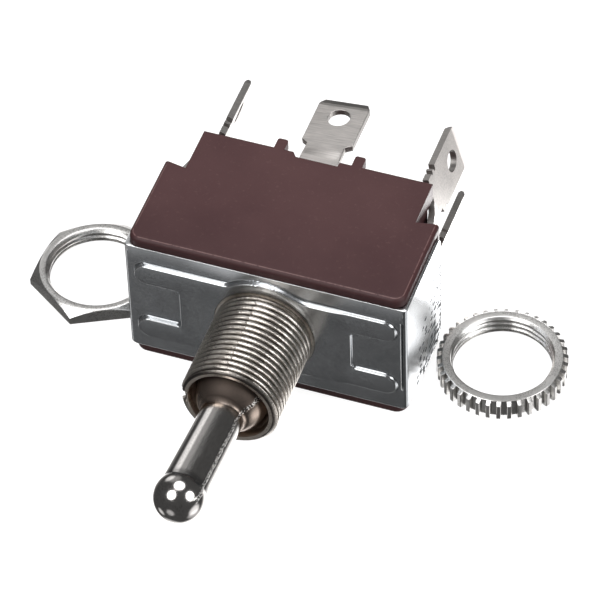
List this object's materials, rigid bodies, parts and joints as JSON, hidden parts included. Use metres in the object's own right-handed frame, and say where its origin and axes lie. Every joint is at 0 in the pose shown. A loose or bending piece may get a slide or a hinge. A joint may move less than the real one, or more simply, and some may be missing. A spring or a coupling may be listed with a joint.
{
  "type": "panel toggle switch",
  "caption": "Double-pole centre-off toggle switch: brown moulded case, steel mounting frame, threaded bushing, bat lever, push-on tabs, with a loose hexagon nut and a toothed ring nut.",
  "frame": {"origin": "bushing axis at the panel seat, the outer face of the frame's raised field", "axes": "-Y out of the panel along the bushing, +X along the case and the lever's throw, +Z out of the broad face; the switch lies on its other broad face"},
  "size_m": [0.0655, 0.0604, 0.0196],
  "materials": {
    "case_moulding": "matte moulded phenolic",
    "frame_steel": "zinc plated, dull bluish",
    "bushing_plate": "nickel plated, cut thread",
    "lever_plate": "dark bright nickel",
    "nut_plate": "bright nickel",
    "tab_metal": "tin plated, fine brushed",
    "bar_moulding": "black moulding",
    "rocker_brass": "bare brass strip",
    "contact_silver": "silver faced",
    "spring_steel": "bright wire"
  },
  "bodies": {
    "base": {"case": "case_moulding", "mounting_frame": "frame_steel", "threaded_bushing": "bushing_plate", "pivot_pin": "spring_steel", "hex_nut": "nut_plate", "ring_nut": "nut_plate", "terminal_centre_upper": "tab_metal", "terminal_left_upper": "tab_metal", "fixed_contact_left_upper": "contact_silver", "terminal_right_upper": "tab_metal", "fixed_contact_right_upper": "contact_silver", "terminal_centre_lower": "tab_metal", "terminal_left_lower": "tab_metal", "fixed_contact_left_lower": "contact_silver", "terminal_right_lower": "tab_metal", "fixed_contact_right_lower": "contact_silver"},
    "lever": {"toggle_lever": "lever_plate", "actuator_bar": "bar_moulding", "spring_upper": "spring_steel", "spring_lower": "spring_steel"},
    "plunger_upper": {"plunger_upper": "rocker_brass"},
    "rocker_upper": {"rocker_upper": "rocker_brass", "moving_contact_left_upper": "contact_silver", "moving_contact_right_upper": "contact_silver"},
    "plunger_lower": {"plunger_lower": "rocker_brass"},
    "rocker_lower": {"rocker_lower": "rocker_brass", "moving_contact_left_lower": "contact_silver", "moving_contact_right_lower": "contact_silver"}
  },
  "joints": [
    {"name": "lever_throw", "type": "hinge", "parent": "base", "child": "lever", "pos_m": [0, -0.0094, 0], "axis": [0, 0, 1], "range_deg": [-11, 15]},
    {"name": "plunger_push_upper", "type": "slide", "parent": "lever", "child": "plunger_upper", "axis": [-0.0349, -0.9994, 0], "range_m": [0, 0.0009], "stiffness_N_per_m": 300, "springref_m": -0.001, "deforming": ["spring_upper"]},
    {"name": "rocker_swing_upper", "type": "hinge", "parent": "base", "child": "rocker_upper", "pos_m": [0, 0.0089, 0.00527], "axis": [0, 0, 1], "range_deg": [-7.75, 5.7]},
    {"name": "plunger_push_lower", "type": "slide", "parent": "lever", "child": "plunger_lower", "axis": [-0.0349, -0.9994, 0], "range_m": [0, 0.0009], "stiffness_N_per_m": 300, "springref_m": -0.001, "deforming": ["spring_lower"]},
    {"name": "rocker_swing_lower", "type": "hinge", "parent": "base", "child": "rocker_lower", "pos_m": [0, 0.0089, -0.00527], "axis": [0, 0, 1], "range_deg": [-7.75, 5.7]}
  ],
  "couplings": [
    {"joint": "rocker_swing_upper", "follows": "lever_throw", "ratio": -0.51538},
    {"joint": "rocker_swing_lower", "follows": "lever_throw", "ratio": -0.51538}
  ]
}
